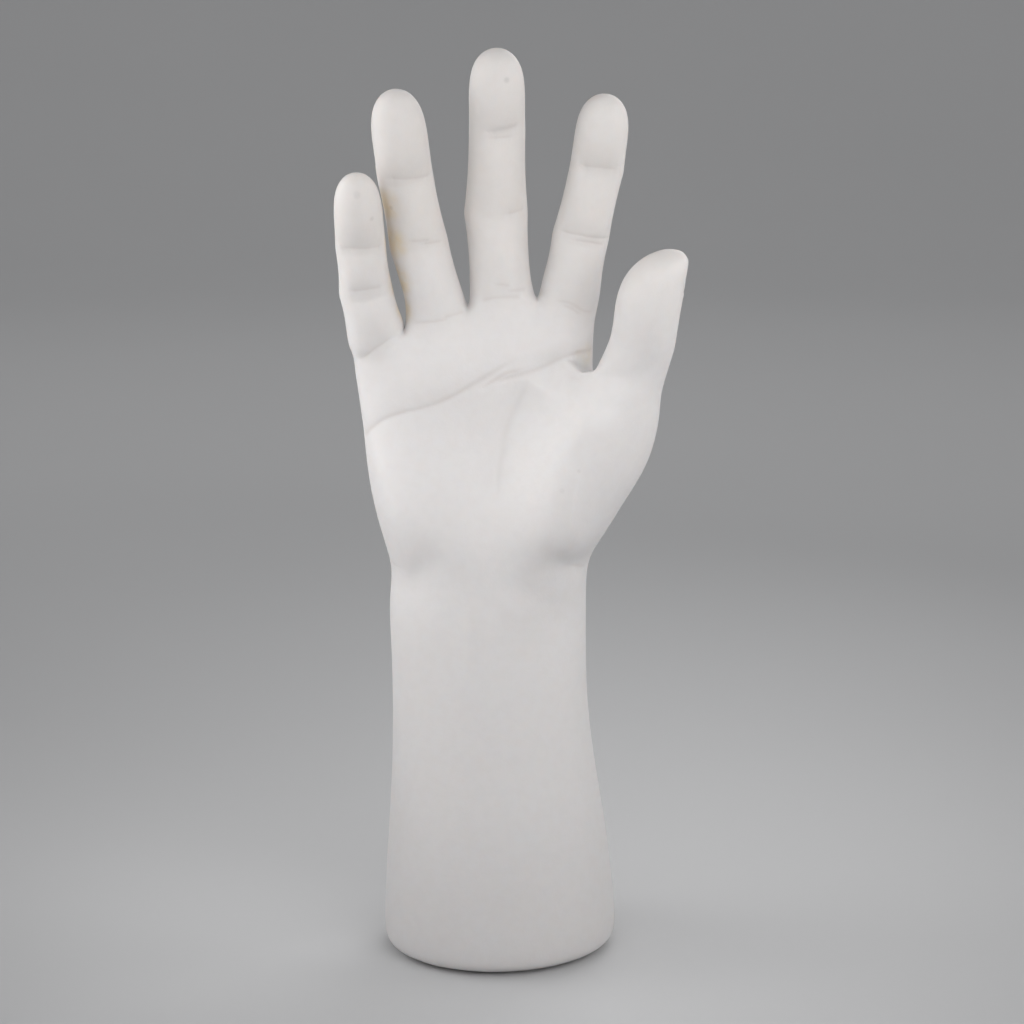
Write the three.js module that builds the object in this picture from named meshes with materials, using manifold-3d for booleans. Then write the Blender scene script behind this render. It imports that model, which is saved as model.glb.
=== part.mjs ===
// Display mannequin hand: a hollow moulded right hand and forearm that stands on its closed foot,
// with sand ballast in the foot and the push-in bung that closes the filling hole underneath.
// Millimetres, +Z up, palm toward -Y, thumb toward +X.

import * as THREE from 'three';
import { mergeVertices } from 'three/addons/utils/BufferGeometryUtils.js';
import Module from 'manifold-3d';

// Moulded skin
const wall = 3;
const clearance = 0.3;

// Foot: an oval turned a little, with a rounded lower edge
const footWidth = 86;
const footDepth = 75;
const footTurn = 10;
const footEdge = 8;

// Height of the wrist above the foot. The foot and forearm hang from it, and the hand stands on it.
const wristHeight = 142;

// Forearm sections: share of the way up to the wrist, left and right edge, front and back, turn in degrees
const forearmSections = [
  { up: 0.211, left: -42.2, right: 41.1, front: -36, back: 36, turn: 9 },
  { up: 0.366, left: -40.7, right: 38, front: -33, back: 33, turn: 7 },
  { up: 0.51, left: -39.6, right: 34.6, front: -29, back: 29, turn: 5 },
  { up: 0.66, left: -39.2, right: 32.1, front: -26, back: 26.5, turn: 3 },
  { up: 0.8, left: -39.5, right: 31.4, front: -24, back: 24.5, turn: 2 },
  { up: 0.92, left: -40, right: 31.3, front: -23, back: 23, turn: 1 },
];

// Sections of the wrist and palm. Their heights, and all heights of the hand below, start at the wrist.
// The thumb's root is a second oval, blended into the palm's. Spread is how far the columns have
// opened from even angles to the fingers' places, and fall is how far the row runs down toward the
// little finger's side.
const palmSections = [
  {
    z: 0, left: -39.2, right: 31, front: -22.5, back: 22.5, spread: 0, fall: 0,
    root: { x: 13, y: -8, halfWidth: 14, halfDepth: 12 },
  },
  {
    z: 9, left: -41, right: 31.3, front: -22.5, back: 21.5, spread: 0.12, fall: 0,
    root: { x: 16, y: -10.5, halfWidth: 15.5, halfDepth: 15 },
  },
  {
    z: 19, left: -44, right: 31.8, front: -21.5, back: 20, spread: 0.3, fall: 0,
    root: { x: 19.5, y: -12.5, halfWidth: 18.9, halfDepth: 17.5 },
  },
  {
    z: 30, left: -46.5, right: 32.4, front: -19.5, back: 18.5, spread: 0.5, fall: 0.5,
    root: { x: 24, y: -13.5, halfWidth: 21, halfDepth: 18.5 },
  },
  {
    z: 42, left: -48, right: 33, front: -17.5, back: 17.5, spread: 0.7, fall: 1.5,
    root: { x: 29.5, y: -14.5, halfWidth: 22.3, halfDepth: 18.5 },
  },
  {
    z: 54, left: -48.7, right: 33, front: -15.5, back: 17, spread: 0.87, fall: 3,
    root: { x: 34, y: -16.5, halfWidth: 21.4, halfDepth: 17 },
  },
  {
    z: 65, left: -49.6, right: 33, front: -14.5, back: 16.5, spread: 1, fall: 4.5,
    root: { x: 39, y: -18.5, halfWidth: 17.4, halfDepth: 15 },
  },
];
const knuckleSection = { z: 75, left: -50.7, right: 33, front: -14, back: 16, spread: 1, fall: 6 };
const rootBlend = 8;
const palmSquareness = 2.6;

// The outermost columns of the palm start this far inside its side and slant outward
const sideInset = 5;
const sideSplay = 0.7;

// Angle between the columns that go round the thumb's root
const rootStep = 38;

// Thumb web: palm side, crest, back
const thumbWeb = [[25.4, -17, 76.4], [31.5, -12.6, 72.4], [34.9, 0.3, 68.8]];

// Mounds and the hollow of the palm: place on the palm, radius and height toward the viewer
const palmRelief = [
  { x: -5, z: 50, radius: 17, height: -2.2 },
  { x: -33, z: 26, radius: 19, height: 2.6 },
  { x: -22, z: 79, radius: 9, height: 0.9 },
  { x: 1, z: 85, radius: 10, height: 1.1 },
];

// Rows between the thumb web and the fingers, as fractions of the way: the pads under the fingers
// rise toward the viewer, the knuckles to the back, and the sides of the index and little finger fill out
const palmRows = [0.36, 0.7];
const padRise = 1.3;
const knuckleRise = 0.9;
const indexFullness = 4;
const littleFullness = 1.5;

// The last row below the thumb also runs down on the thumb's side
const thumbFall = 3;

// How far the back of the hand falls between the knuckles
const knuckleFall = 1.4;

// The columns on the palm that make way for the thumb web
const webPull = [0, 0, 0, 0, 0, 1.5, 4, 7.5];

// Skin between the fingers: the crest of each web and how far it falls toward palm and back
const fingerWebs = [
  { x: -33.4, y: 0, z: 89.5 },
  { x: -10.9, y: 1, z: 96.8 },
  { x: 13.1, y: 1, z: 99 },
];
const webPalmFall = 3;
const webBackFall = 5;
const webPalmReach = 8.5;
const webBackReach = 8.5;

// Fingers from the little finger to the index. The lengths run from the web to the two finger
// joints and the tip. Lean is sideways and curl is toward the palm, both in degrees.
// Widths and depths are halves, at the web, the two joints and the tip.
const fingers = [
  {
    root: [-43, -2.5, 85.5], lengths: [18.6, 17.9, 28.4], lean: [-12, -4.4, -1.7], curl: [15, 20, 22],
    halfWidth: [10.7, 9.5, 8.9, 8.4], halfDepth: [9.6, 8.6, 7.9, 7.2],
  },
  {
    root: [-21.4, -1, 93.5], lengths: [27, 25.1, 32.8], lean: [-14.7, -10, -6.3], curl: [9, 14, 18],
    halfWidth: [10.6, 10.4, 9.8, 9.8], halfDepth: [10.2, 9.6, 8.6, 8.2],
  },
  {
    root: [0.7, -0.5, 99.5], lengths: [30.7, 29.5, 30], lean: [-3.6, 1, -0.2], curl: [5.5, 11, 16],
    halfWidth: [10.9, 11.2, 9.9, 9.8], halfDepth: [10.5, 10.2, 8.9, 8.4],
  },
  {
    root: [24.4, -1, 99.5], lengths: [22.6, 26.3, 27.5], lean: [10, 12.2, 6.5], curl: [9, 14, 18],
    halfWidth: [10.8, 10, 9.5, 9.2], halfDepth: [10.4, 9.6, 8.5, 8],
  },
];

// Rings along a finger: segment and fraction along it, and how much fuller than a plain taper
// the finger is there across, on the palm side and on the back
const fingerRings = [
  { at: 0.24, across: 1, palm: 1, back: 0.98 },
  { at: 0.55, across: 0.97, palm: 1.05, back: 0.97 },
  { at: 0.85, across: 0.99, palm: 1.01, back: 1 },
  { at: 1, across: 1.02, palm: 0.95, back: 1.05 },
  { at: 1.16, across: 1, palm: 0.99, back: 1.02 },
  { at: 1.5, across: 0.97, palm: 1.05, back: 0.96 },
  { at: 1.84, across: 0.99, palm: 1, back: 0.99 },
  { at: 2, across: 1.01, palm: 0.94, back: 1.04 },
  { at: 2.15, across: 1, palm: 0.99, back: 1 },
  { at: 2.38, across: 1, palm: 1.06, back: 0.94 },
  { at: 2.58, across: 0.98, palm: 1.02, back: 0.88 },
];
const tipRings = [
  { at: 2.78, scale: 0.85 },
  { at: 2.92, scale: 0.54 },
];

// Thumb sections: centre, half width across the view, half depth
const thumbSections = [
  { centre: [44.6, -21.2, 74.5], halfWidth: 13.2, halfDepth: 12.6, lean: 24 },
  { centre: [47.5, -22.8, 81.3], halfWidth: 11.7, halfDepth: 11.6, lean: 15 },
  { centre: [49.4, -25.7, 88], halfWidth: 11.5, halfDepth: 11.3, lean: 9 },
  { centre: [50.2, -28.3, 94.5], halfWidth: 11.4, halfDepth: 11.3, lean: 6 },
  { centre: [50.8, -30.5, 100.5], halfWidth: 11.5, halfDepth: 11.1, lean: 5 },
  { centre: [51.9, -32.2, 106.5], halfWidth: 11.2, halfDepth: 10.7, lean: 6 },
  { centre: [53.6, -33.7, 112], halfWidth: 10, halfDepth: 9.8, lean: 7 },
  { centre: [56.4, -35, 116.6], halfWidth: 7.8, halfDepth: 8, lean: 8 },
  { centre: [58.9, -35.7, 119.4], halfWidth: 4.9, halfDepth: 5, lean: 8 },
];
const thumbTip = [59.7, -36, 120.9];
const thumbCurl = 18;

// Closing bung and its socket in the foot
const boreRadius = 14;
const rimRadius = 18;
const rimDepth = 2.8;
const bungRecess = 0.9;
const socketHeight = 12;
const bungWall = 1.8;
const prySlotWidth = 6;
const prySlotDepth = 2;

// Sand in the foot, levelled at this height above the surface that the hand stands on
const sandLevel = 34;

const roundSides = 48;
const fitPasses = 10;
const relaxPasses = 3;
const relaxShare = 0.4;

// Columns of a full ring, anticlockwise seen from above: left side, front, right side, back
const ringCount = 24;
const rightColumn = ringCount / 2;
const palmFront = 2 * fingers.length;

const wasm = await Module();
wasm.setup();

const vec = (p) => new THREE.Vector3(...p);
const radians = (degrees) => THREE.MathUtils.degToRad(degrees);
const mix = THREE.MathUtils.lerp;
const midpoint = (a, b, t = 0.5) => a.clone().lerp(b, t);
const backColumn = (i) => ringCount - 1 - i;

// A quad mesh that rings of points are bridged into
class Cage {
  constructor() {
    this.points = [];
    this.quads = [];
  }

  ring(points) {
    return points.map((p) => this.points.push(p) - 1);
  }

  bridge(lower, upper) {
    lower.forEach((a, i) => {
      const j = (i + 1) % lower.length;
      this.quads.push([a, lower[j], upper[j], upper[i]]);
    });
  }

  // Evens out a run of points among their neighbours
  relax(first, count) {
    const neighbours = this.points.map(() => new Set());
    for (const quad of this.quads) {
      quad.forEach((v, i) => {
        neighbours[v].add(quad[(i + 1) % 4]);
        neighbours[v].add(quad[(i + 3) % 4]);
      });
    }
    for (let pass = 0; pass < relaxPasses; pass += 1) {
      for (let v = first; v < first + count; v += 1) {
        const sum = new THREE.Vector3();
        neighbours[v].forEach((n) => sum.add(this.points[n]));
        this.points[v].lerp(sum.divideScalar(neighbours[v].size), relaxShare);
      }
    }
  }

  close(ring, pole, facingUp) {
    const [centre] = this.ring([pole]);
    for (let i = 0; i < ring.length; i += 2) {
      const next = ring[(i + 2) % ring.length];
      const quad = [ring[i], ring[i + 1], next, centre];
      this.quads.push(facingUp ? quad : quad.reverse());
    }
  }
}

// One step of Catmull-Clark subdivision. The first points of the result are the cage's own.
function subdivide(points, quads) {
  const facePoints = quads.map((quad) => {
    const sum = new THREE.Vector3();
    quad.forEach((v) => sum.add(points[v]));
    return sum.divideScalar(4);
  });
  const edges = new Map();
  const edgeKey = (a, b) => (a < b ? `${a} ${b}` : `${b} ${a}`);
  quads.forEach((quad, face) => {
    quad.forEach((a, i) => {
      const b = quad[(i + 1) % 4];
      const key = edgeKey(a, b);
      if (!edges.has(key)) edges.set(key, { a, b, faces: [] });
      edges.get(key).faces.push(face);
    });
  });
  const faceSum = points.map(() => new THREE.Vector3());
  const edgeSum = points.map(() => new THREE.Vector3());
  const valence = points.map(() => 0);
  quads.forEach((quad, face) => {
    quad.forEach((v) => {
      faceSum[v].add(facePoints[face]);
      valence[v] += 1;
    });
  });
  const edgePoints = [];
  for (const edge of edges.values()) {
    const middle = midpoint(points[edge.a], points[edge.b]);
    edgeSum[edge.a].add(middle);
    edgeSum[edge.b].add(middle);
    const faces = midpoint(facePoints[edge.faces[0]], facePoints[edge.faces[1]]);
    edge.index = points.length + quads.length + edgePoints.length;
    edgePoints.push(midpoint(middle, faces));
  }
  const moved = points.map((p, v) => {
    const n = valence[v];
    const sum = faceSum[v].clone().divideScalar(n);
    sum.addScaledVector(edgeSum[v], 2 / n);
    sum.addScaledVector(p, n - 3);
    return sum.divideScalar(n);
  });
  const finer = [];
  quads.forEach((quad, face) => {
    quad.forEach((v, i) => {
      const after = edges.get(edgeKey(v, quad[(i + 1) % 4])).index;
      const before = edges.get(edgeKey(quad[(i + 3) % 4], v)).index;
      finer.push([v, after, points.length + face, before]);
    });
  });
  return { points: [...moved, ...facePoints, ...edgePoints], quads: finer };
}

// Moves the cage until its subdivided surface passes through the points that it was drawn with
function fitThrough(targets, quads) {
  const cage = targets.map((p) => p.clone());
  for (let pass = 0; pass < fitPasses; pass += 1) {
    const { points } = subdivide(cage, quads);
    cage.forEach((p, i) => p.add(targets[i]).sub(points[i]));
  }
  return subdivide(cage, quads);
}

// Each point's outward normal, from the quads around it
function pointNormals(points, quads) {
  const normals = points.map(() => new THREE.Vector3());
  for (const quad of quads) {
    const [a, b, c, d] = quad.map((v) => points[v]);
    const normal = c.clone().sub(a).cross(d.clone().sub(b));
    quad.forEach((v) => normals[v].add(normal));
  }
  return normals.map((n) => n.normalize());
}

function quadGeometry(points, quads) {
  const geometry = new THREE.BufferGeometry();
  const numbers = points.flatMap((p) => p.toArray());
  geometry.setAttribute('position', new THREE.Float32BufferAttribute(numbers, 3));
  geometry.setIndex(quads.flatMap(([a, b, c, d]) => [a, b, c, a, c, d]));
  return geometry;
}

function toSolid(geometry) {
  const bare = geometry.clone();
  bare.deleteAttribute('normal');
  bare.deleteAttribute('uv');
  const merged = mergeVertices(bare, 1e-4);
  return new wasm.Manifold(new wasm.Mesh({
    numProp: 3,
    vertProperties: new Float32Array(merged.attributes.position.array),
    triVerts: new Uint32Array(merged.index.array),
  }));
}

function toGeometry(solid) {
  const mesh = solid.getMesh();
  const geometry = new THREE.BufferGeometry();
  geometry.setAttribute('position', new THREE.BufferAttribute(mesh.vertProperties, 3));
  geometry.setIndex(new THREE.BufferAttribute(mesh.triVerts, 1));
  geometry.computeVertexNormals();
  return geometry;
}

function cylinder(radius, low, high) {
  const geometry = new THREE.CylinderGeometry(radius, radius, high - low, roundSides).rotateX(Math.PI / 2);
  return toSolid(geometry.translate(0, 0, (low + high) / 2));
}

// Points of an oval at even angles, anticlockwise seen from above
function oval({ z, left, right, front, back, turn = 0 }) {
  const centreX = (left + right) / 2;
  const centreY = (front + back) / 2;
  return Array.from({ length: ringCount }, (_, i) => {
    const angle = Math.PI + (i * 2 * Math.PI) / ringCount;
    const p = new THREE.Vector3(Math.cos(angle) * (right - left), Math.sin(angle) * (back - front), 0);
    p.multiplyScalar(0.5).applyAxisAngle(new THREE.Vector3(0, 0, 1), radians(turn));
    return p.add(new THREE.Vector3(centreX, centreY, z));
  });
}

// How far a point lies outside the oval of the thumb's root, roughly in millimetres
function outsideRoot(p, { x, y, halfWidth, halfDepth }) {
  const reach = Math.hypot((p.x - x) / halfWidth, (p.y - y) / halfDepth);
  return (reach - 1) * Math.min(halfWidth, halfDepth);
}

// The palm's section is flatter than an oval: its distance is measured in a squarer norm
function outsidePalm(p, { left, right, front, back, spread }) {
  const halfWidth = (right - left) / 2;
  const halfDepth = (back - front) / 2;
  const squareness = mix(2, palmSquareness, spread);
  const across = Math.abs((p.x - (left + right) / 2) / halfWidth);
  const through = Math.abs((p.y - (front + back) / 2) / halfDepth);
  const reach = (across ** squareness + through ** squareness) ** (1 / squareness);
  return (reach - 1) * Math.min(halfWidth, halfDepth);
}

// Blended union of the palm and the thumb's root
function outsideBoth(p, section) {
  const palm = outsidePalm(p, section);
  if (!section.root) return palm;
  const root = outsideRoot(p, section.root);
  const overlap = Math.max(rootBlend - Math.abs(palm - root), 0) / rootBlend;
  return Math.min(palm, root) - (overlap * overlap * rootBlend) / 4;
}

// The rows of the palm run down toward the little finger's side
function fallAt({ left, right, fall }, x) {
  return fall * THREE.MathUtils.clamp((right - x) / (right - left), 0, 1);
}

// The place where a line from an inner point leaves the section
function cast(section, from, direction) {
  let near = 0;
  let far = footWidth;
  while (far - near > 1e-3) {
    const middle = (near + far) / 2;
    const p = from.clone().addScaledVector(direction, middle);
    if (outsideBoth(p, section) < 0) near = middle;
    else far = middle;
  }
  const p = from.clone().addScaledVector(direction, far);
  return new THREE.Vector3(p.x, p.y, section.z);
}

// Places across the hand of the columns that run up into the fingers and their webs
const columnX = (() => {
  const [little, ring, middle, index] = fingers.map((finger) => finger.root[0]);
  const [web0, web1, web2] = fingerWebs.map((web) => web.x);
  const outerLeft = little - fingers[0].halfWidth[0] * 0.6;
  const outerRight = index + fingers[3].halfWidth[0] * 0.6;
  return [outerLeft, little, web0, ring, web1, middle, web2, index, outerRight];
})();

// Height of the mounds of the palm at a point
function relief(p) {
  return palmRelief.reduce((sum, { x, z, radius, height }) => {
    const away = Math.hypot(p.x - x, p.z - z) / radius;
    return sum + height * Math.exp(-away * away);
  }, 0);
}

const isBetweenKnuckles = (column) => column > 0 && column < palmFront && column % 2 === 0;

// A ring of the wrist or palm. Its columns open from even angles at the wrist to the fingers' places.
function palmRing(section) {
  const { left, right, spread } = section;
  const centreY = (section.front + section.back) / 2;
  const centre = new THREE.Vector2((left + right) / 2, centreY);
  const root = new THREE.Vector2(section.root.x, section.root.y);
  return Array.from({ length: ringCount }, (_, i) => {
    const evenAngle = Math.PI + (i * 2 * Math.PI) / ringCount;
    const even = new THREE.Vector2(Math.cos(evenAngle), Math.sin(evenAngle));
    const isBack = i > rightColumn;
    const column = isBack ? backColumn(i) : i - 1;
    let anchor = new THREE.Vector2(left + sideInset, centreY);
    let open = new THREE.Vector2(-1, 0);
    if (i > 0 && column <= palmFront) {
      anchor = new THREE.Vector2(Math.max(columnX[column], left + sideInset), centreY);
      const splay = column === 0 ? -sideSplay : 0;
      open = new THREE.Vector2(splay, isBack ? 1 : -1).normalize();
    } else if (i > 0) {
      anchor = root;
      const angle = radians((i - rightColumn) * rootStep);
      open = new THREE.Vector2(Math.cos(angle), Math.sin(angle));
    }
    const from = centre.clone().lerp(anchor, spread);
    const direction = even.lerp(open, spread).normalize();
    const p = cast(section, from, direction);
    p.z -= fallAt(section, p.x);
    if (column > palmFront) p.z -= thumbFall * spread * spread;
    if (i > 0 && !isBack && column <= palmFront) p.y -= relief(p);
    if (isBack && isBetweenKnuckles(column)) p.y -= knuckleFall * spread * spread;
    return p;
  });
}

// A ring of eight points round a limb: left, front left, front, front right, and so on round
function limbRing(centre, along, frontward, halfWidth, palmDepth, backDepth) {
  const front = frontward.clone().addScaledVector(along, -frontward.dot(along)).normalize();
  const across = along.clone().cross(front);
  return Array.from({ length: 8 }, (_, i) => {
    const angle = Math.PI + (i * Math.PI) / 4;
    const depth = Math.sin(angle) < 0 ? palmDepth : backDepth;
    return centre.clone()
      .addScaledVector(across, Math.cos(angle) * halfWidth)
      .addScaledVector(front, -Math.sin(angle) * depth);
  });
}

const palmward = new THREE.Vector3(0, -1, 0);

// The bones of a finger: its joints from the web to the tip, and the direction of each segment
function fingerBones({ root, lengths, lean, curl }) {
  const joints = [vec(root)];
  const directions = lengths.map((length, i) => {
    const side = radians(lean[i]);
    const bend = radians(curl[i]);
    const upright = new THREE.Vector3(Math.sin(side), 0, Math.cos(side)).multiplyScalar(Math.cos(bend));
    const direction = upright.addScaledVector(palmward, Math.sin(bend));
    joints.push(joints[i].clone().addScaledVector(direction, length));
    return direction;
  });
  return { joints, directions };
}

function alongFinger(bones, values, at) {
  const segment = Math.min(Math.floor(at), bones.directions.length - 1);
  const t = at - segment;
  const here = bones.directions[segment];
  const last = bones.directions.length - 1;
  const turnStart = midpoint(bones.directions[Math.max(segment - 1, 0)], here);
  const turnEnd = midpoint(here, bones.directions[Math.min(segment + 1, last)]);
  return {
    centre: midpoint(bones.joints[segment], bones.joints[segment + 1], t),
    along: midpoint(turnStart, turnEnd, t).normalize(),
    size: mix(values[segment], values[segment + 1], t),
  };
}

// Rings of one finger above its base, then the rounded tip
function fingerRingPoints(finger) {
  const bones = fingerBones(finger);
  const place = (at, across, palm, back) => {
    const width = alongFinger(bones, finger.halfWidth, at);
    const depth = alongFinger(bones, finger.halfDepth, at).size;
    return limbRing(width.centre, width.along, palmward, width.size * across, depth * palm, depth * back);
  };
  const body = fingerRings.map(({ at, across, palm, back }) => place(at, across, palm, back));
  const last = fingerRings[fingerRings.length - 1];
  const tip = tipRings.map(({ at, scale }) => place(at, scale, scale * last.palm, scale * last.back));
  return { rings: [...body, ...tip], pole: bones.joints[3] };
}

// Builds the whole outer surface as one quad cage
function handCage() {
  const cage = new Cage();

  // Foot, from the middle of its underside outward and up over the rounded edge
  const inset = (amount, height) => oval({
    left: amount - footWidth / 2,
    right: footWidth / 2 - amount,
    front: amount - footDepth / 2,
    back: footDepth / 2 - amount,
    turn: footTurn,
    z: height - wristHeight,
  });
  const roundIn = footEdge * (1 - Math.SQRT1_2);
  const underside = cage.ring(inset(2 * footEdge, 0));
  cage.close(underside, new THREE.Vector3(0, 0, -wristHeight), false);
  let lower = underside;
  const climb = (points) => {
    const ring = cage.ring(points);
    cage.bridge(lower, ring);
    lower = ring;
  };
  climb(inset(footEdge, 0));
  climb(inset(roundIn, roundIn));
  climb(inset(0, footEdge));

  forearmSections.forEach((section) => climb(oval({ ...section, z: (section.up - 1) * wristHeight })));
  palmSections.forEach((section) => climb(palmRing(section)));

  // The ring where the thumb leaves the palm
  const knuckles = (x, direction) => {
    const p = cast(knuckleSection, new THREE.Vector2(x, 0), direction);
    p.z -= fallAt(knuckleSection, p.x);
    return p;
  };
  const thumbRings = thumbSections.map(({ centre, halfWidth, halfDepth, lean }) => {
    const upright = new THREE.Vector3(Math.sin(radians(lean)), 0, Math.cos(radians(lean)));
    const along = upright.addScaledVector(palmward, Math.sin(radians(thumbCurl))).normalize();
    return limbRing(vec(centre), along, palmward, halfWidth, halfDepth, halfDepth);
  });
  const [webPalm, webCrest, webBack] = thumbWeb.map((p) => cage.ring([vec(p)])[0]);
  const columns = columnX.slice(0, palmFront);
  const inside = (x) => Math.max(x, knuckleSection.left + sideInset);
  const splitFront = cage.ring(columns.map((x, i) => {
    const p = knuckles(inside(x - webPull[i]), new THREE.Vector2(i ? 0 : -sideSplay, -1).normalize());
    p.y -= relief(p);
    return p;
  }));
  const splitBack = cage.ring(columns.map((x, i) => {
    const p = knuckles(inside(x), new THREE.Vector2(i ? 0 : -sideSplay, 1).normalize());
    if (isBetweenKnuckles(i)) p.y -= knuckleFall;
    return p;
  }));
  const [splitSide] = cage.ring([knuckles(inside(knuckleSection.left), new THREE.Vector2(-1, 0))]);
  const thumbBase = cage.ring(thumbRings[0].slice(2, 7));
  const splitRing = [splitSide, ...splitFront, webPalm, ...thumbBase, webBack, ...splitBack.toReversed()];
  cage.bridge(lower, splitRing);

  // Thumb
  lower = [webCrest, webPalm, ...thumbBase, webBack];
  thumbRings.slice(1).forEach(climb);
  cage.close(lower, vec(thumbTip), true);

  // Ring round the roots of the fingers
  const rootRings = fingers.map((finger) => {
    const [along] = fingerBones(finger).directions;
    const [halfDepth] = finger.halfDepth;
    return limbRing(vec(finger.root), along, palmward, finger.halfWidth[0], halfDepth, halfDepth);
  });
  const webPoint = (web, dy, dz) => new THREE.Vector3(web.x, web.y + dy, web.z + dz);
  const rootFront = [rootRings[0][1]];
  const rootBack = [rootRings[0][7]];
  rootRings.forEach((ring, k) => {
    const web = fingerWebs[k];
    rootFront.push(ring[2], web ? webPoint(web, -webPalmReach, -webPalmFall) : ring[3]);
    rootBack.push(ring[6], web ? webPoint(web, webBackReach, -webBackFall) : ring[5]);
  });
  const rootLeft = rootRings[0][0];
  const rootRight = rootRings[3][4];

  // Two rings between the thumb web and the roots of the fingers
  const splitPalm = [splitSide, ...splitFront, webPalm, webCrest, webBack, ...splitBack.toReversed()];
  const rootPoints = [rootLeft, ...rootFront, rootRight, ...rootBack.toReversed()];
  const indexSide = rootPoints.length / 2;
  lower = splitPalm;
  const firstBetween = cage.points.length;
  for (const t of palmRows) {
    climb(rootPoints.map((p, i) => {
      const mixed = midpoint(cage.points[splitPalm[i]], p, t);
      const fade = Math.sin(Math.PI * t);
      const isFront = i > 0 && i < indexSide;
      const isBack = i > indexSide;
      const isLittleSide = i < 2 || i === rootPoints.length - 1;
      if (isFront) mixed.y -= padRise * fade;
      if (isBack) mixed.y += knuckleRise * fade;
      if (isLittleSide) mixed.x -= littleFullness * fade;
      if (i === indexSide) mixed.x += indexFullness * fade;
      return mixed;
    }));
  }
  const between = cage.points.length - firstBetween;
  const roots = cage.ring(rootPoints);
  cage.bridge(lower, roots);

  // Fingers, each starting from the points round its root
  const crests = fingerWebs.map((web) => cage.ring([webPoint(web, 0, 0)])[0]);
  fingers.forEach((finger, k) => {
    const leftSide = k === 0 ? roots[0] : crests[k - 1];
    const rightSide = k === 3 ? roots[indexSide] : crests[k];
    const j = 2 * k;
    const front = [0, 1, 2].map((i) => roots[1 + j + i]);
    const back = [2, 1, 0].map((i) => roots[roots.length - 1 - j - i]);
    lower = [leftSide, ...front, rightSide, ...back];
    const { rings, pole } = fingerRingPoints(finger);
    rings.forEach(climb);
    cage.close(lower, pole, true);
  });
  cage.relax(firstBetween, between);
  cage.points.forEach((p) => p.setZ(p.z + wristHeight));
  return cage;
}

const cage = handCage();
const surface = fitThrough(cage.points, cage.quads);
surface.points.forEach((p) => {
  if (p.z < 0.05) p.z = 0;
});
const outer = toSolid(quadGeometry(surface.points, surface.quads));

// The hollow follows the drawn points at the wall's depth
function hollow(depth) {
  const normals = pointNormals(cage.points, cage.quads);
  const points = cage.points.map((p, i) => p.clone().addScaledVector(normals[i], -depth));
  return toSolid(quadGeometry(points, cage.quads));
}

// Socket for the bung: a boss on the floor of the foot with a recess for the rim and a bore
const bossRadius = rimRadius + wall;
const boss = cylinder(bossRadius, 0, socketHeight);
const rimRecess = cylinder(rimRadius, -1, rimDepth);
const bore = cylinder(boreRadius, -1, socketHeight + 1).add(rimRecess);
const shell = outer.subtract(hollow(wall)).add(boss).subtract(bore);

// Bung: a flange that sits up inside the recess and an open cup in the bore
const flangeTop = rimDepth - clearance;
const cupRadius = boreRadius - clearance;
const flange = cylinder(rimRadius - clearance, bungRecess, flangeTop);
const cup = cylinder(cupRadius, bungRecess, socketHeight)
  .subtract(cylinder(cupRadius - bungWall, flangeTop, socketHeight + 1));
const prySlot = toSolid(new THREE.BoxGeometry(prySlotWidth, 2 * prySlotDepth, 2 * rimDepth))
  .translate([0, clearance - rimRadius, bungRecess]);
const bung = flange.add(cup).subtract(prySlot);

// Sand: it fills the hollow of the foot up to its level, round and over the socket
const sandBlock = toSolid(new THREE.BoxGeometry(2 * footWidth, 2 * footDepth, sandLevel))
  .translate([0, 0, sandLevel / 2]);
const sand = hollow(wall + clearance)
  .intersect(sandBlock)
  .subtract(cylinder(bossRadius + clearance, 0, socketHeight + clearance));

// Assembly, with the origin under the middle of the whole hand
function piece(name, solid, color, roughness) {
  const material = new THREE.MeshStandardMaterial({ color, roughness, metalness: 0 });
  const mesh = new THREE.Mesh(toGeometry(solid), material);
  mesh.name = name;
  return mesh;
}

const hand = new THREE.Group();
hand.add(
  piece('hand_shell', shell, 0xd9d5d2, 0.55),
  piece('base_bung', bung, 0xc8c6c2, 0.6),
  piece('sand_ballast', sand, 0xb9a98a, 0.95),
);
const middle = new THREE.Box3().setFromObject(hand).getCenter(new THREE.Vector3());
hand.position.set(-middle.x, -middle.y, 0);

export default hand;
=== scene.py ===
"""Display mannequin hand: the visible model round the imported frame, its materials, floor, light and camera.

The skin is sculpted in millimetres of the hand's own frame: origin in the middle of the foot, +Z up
to the fingertips, -Y the way the palm faces, +X to the thumb. Blender's objects are in metres.
"""

import math

import bmesh
import bpy
import numpy as np
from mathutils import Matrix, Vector
from mathutils.bvhtree import BVHTree


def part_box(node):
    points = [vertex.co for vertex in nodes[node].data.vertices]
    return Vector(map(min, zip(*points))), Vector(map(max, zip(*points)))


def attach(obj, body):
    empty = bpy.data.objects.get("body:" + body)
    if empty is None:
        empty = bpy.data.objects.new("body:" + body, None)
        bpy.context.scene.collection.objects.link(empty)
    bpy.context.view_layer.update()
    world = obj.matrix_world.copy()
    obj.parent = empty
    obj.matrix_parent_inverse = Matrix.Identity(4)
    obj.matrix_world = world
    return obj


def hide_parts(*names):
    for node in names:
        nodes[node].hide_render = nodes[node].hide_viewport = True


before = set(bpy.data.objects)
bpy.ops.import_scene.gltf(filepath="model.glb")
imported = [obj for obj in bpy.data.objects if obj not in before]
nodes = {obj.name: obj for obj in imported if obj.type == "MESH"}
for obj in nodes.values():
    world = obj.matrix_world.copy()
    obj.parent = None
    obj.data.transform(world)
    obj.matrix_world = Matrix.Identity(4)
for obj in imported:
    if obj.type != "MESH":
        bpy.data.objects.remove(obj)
bpy.context.view_layer.update()

MM = 0.001
SAME_PLACE = 1e-6  # vertices of the CAD meshes nearer than this, in metres, are one

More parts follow.
